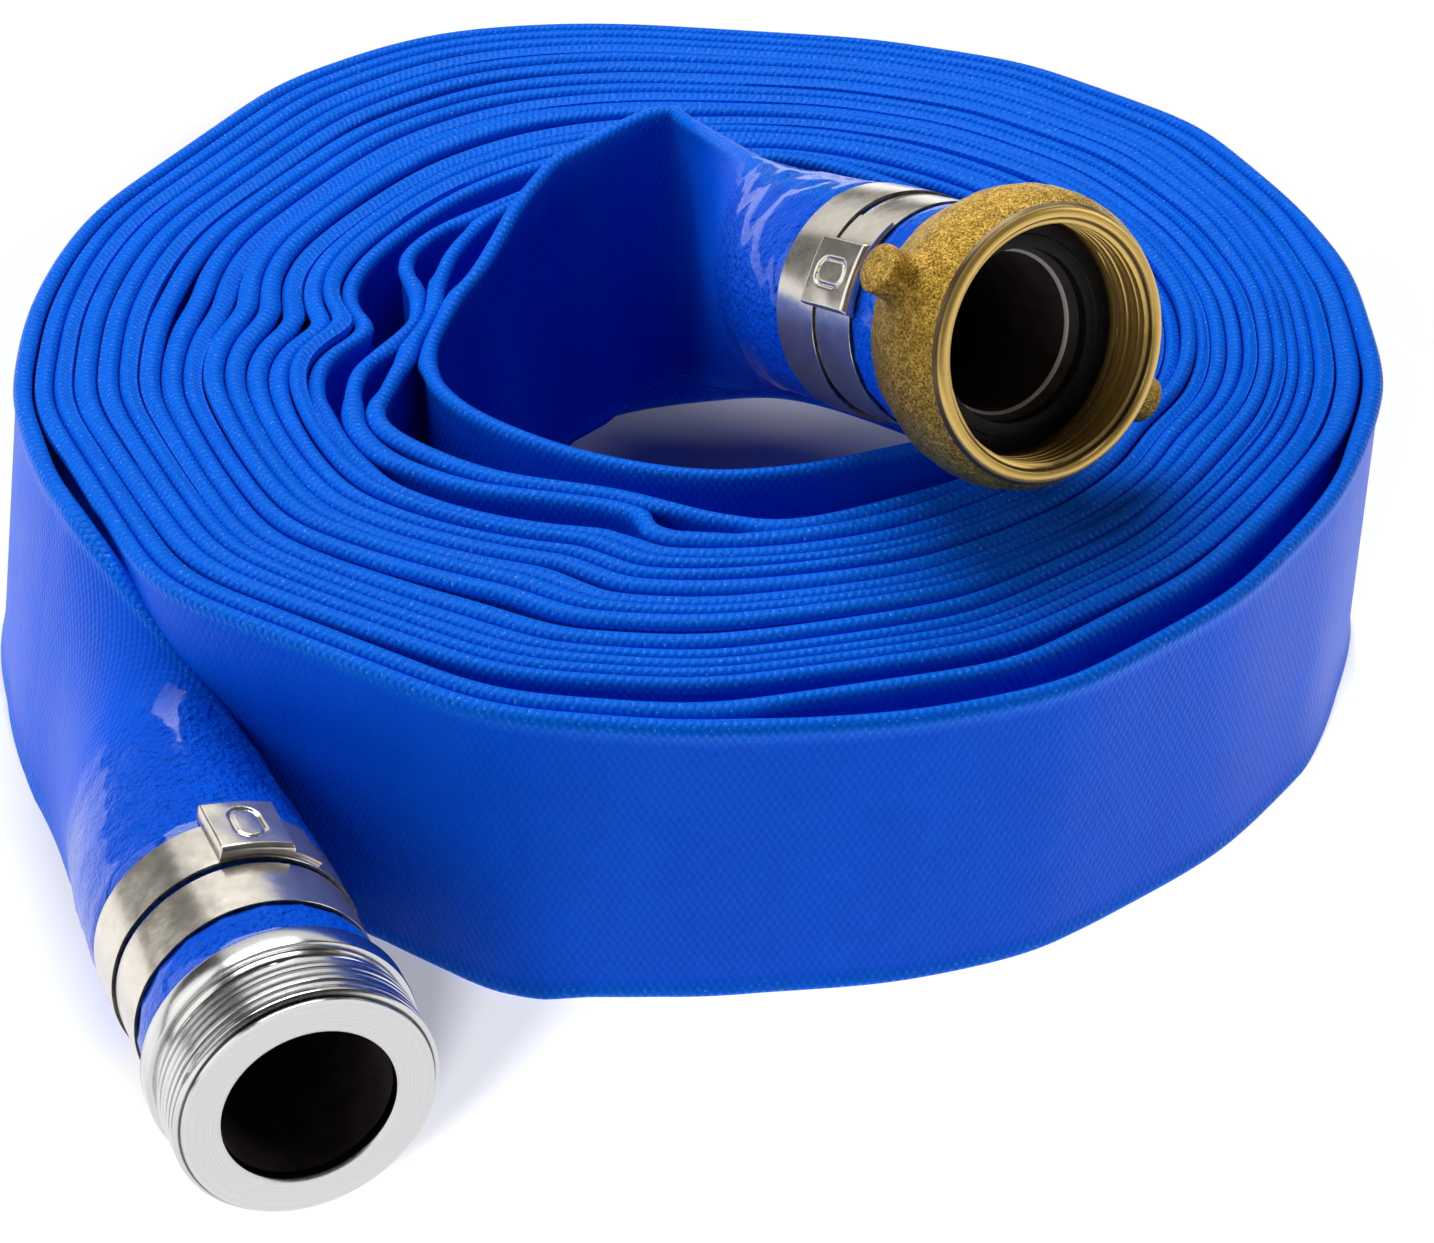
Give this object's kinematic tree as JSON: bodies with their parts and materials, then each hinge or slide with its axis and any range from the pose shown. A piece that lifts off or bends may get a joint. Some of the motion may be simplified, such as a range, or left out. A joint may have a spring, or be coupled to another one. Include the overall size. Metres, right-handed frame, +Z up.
{
  "type": "rolled fire hose",
  "caption": "Rolled lay-flat hose standing on its edge, with a threaded male shank at the outer end and a pin-lug swivel nut at the inner end.",
  "frame": {"origin": "on the floor, below the middle of the whole object's box", "axes": "+Z up; the male coupling points towards -Y and the swivel coupling towards +X, -Y and slightly up"},
  "size_m": [0.3614, 0.4474, 0.1666],
  "materials": {
    "hose": "satin woven PVC, blue",
    "clamp_steel": "rolled stainless strip",
    "shank_aluminium": "machined",
    "nut_brass": "sand cast outside, machined thread and rim",
    "gasket_rubber": "moulded black rubber"
  },
  "bodies": {
    "root": {"hose_roll": "hose", "hose_outer_run": "hose", "hose_outer_neck": "hose", "hose_outer_cuff": "hose", "hose_inner_turn_1": "hose", "hose_inner_turn_2": "hose", "hose_inner_rise": "hose", "hose_inner_neck": "hose", "hose_inner_cuff": "hose", "male_band_front": "clamp_steel", "male_buckle_front": "clamp_steel", "male_band_rear": "clamp_steel", "male_buckle_rear": "clamp_steel", "swivel_band_front": "clamp_steel", "swivel_buckle_front": "clamp_steel", "swivel_band_rear": "clamp_steel", "swivel_buckle_rear": "clamp_steel", "male_shank": "shank_aluminium", "swivel_tail": "shank_aluminium", "tail_gasket": "gasket_rubber"},
    "swivel_nut": {"swivel_nut": "nut_brass"}
  },
  "joints": [
    {"name": "swivel_spin", "type": "hinge", "parent": "root", "child": "swivel_nut", "pos_m": [0.08405, -0.0632, 0.134], "axis": [0.5222, -0.8034, 0.2862], "continuous": true}
  ]
}
